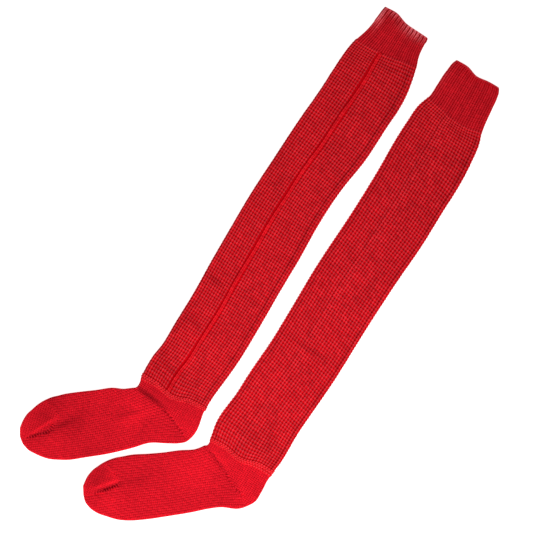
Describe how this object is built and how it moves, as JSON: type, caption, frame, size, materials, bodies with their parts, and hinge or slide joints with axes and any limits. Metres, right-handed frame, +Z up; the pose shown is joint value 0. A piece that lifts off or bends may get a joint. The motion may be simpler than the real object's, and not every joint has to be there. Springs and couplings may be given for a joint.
{
  "type": "pair of over-the-knee hiking socks",
  "caption": "Over-the-knee chunky-knit hiking socks laid flat on their sides: ribbed cuff, long tuck-knit leg with a plain wale, plain-knit heel, foot and closed toe.",
  "frame": {"origin": "on the surface that the socks lie on, under the middle of the box round both of them", "axes": "+X to the right of the picture, +Y to its top, +Z up from the surface; the toes point towards -X and the cuffs towards +X and +Y"},
  "size_m": [0.6134, 0.6578, 0.0078],
  "materials": {
    "ribbed_knit": "soft matt acrylic yarn, one-by-one rib",
    "tuck_knit": "soft matt acrylic yarn, thick tuck stitch",
    "plain_knit": "soft matt acrylic yarn, plain stitch"
  },
  "bodies": {
    "root": {"far_cuff": "ribbed_knit", "far_leg": "tuck_knit", "far_heel": "plain_knit", "far_foot": "plain_knit", "far_toe": "plain_knit", "near_cuff": "ribbed_knit", "near_leg": "tuck_knit", "near_heel": "plain_knit", "near_foot": "plain_knit", "near_toe": "plain_knit"}
  },
  "joints": []
}
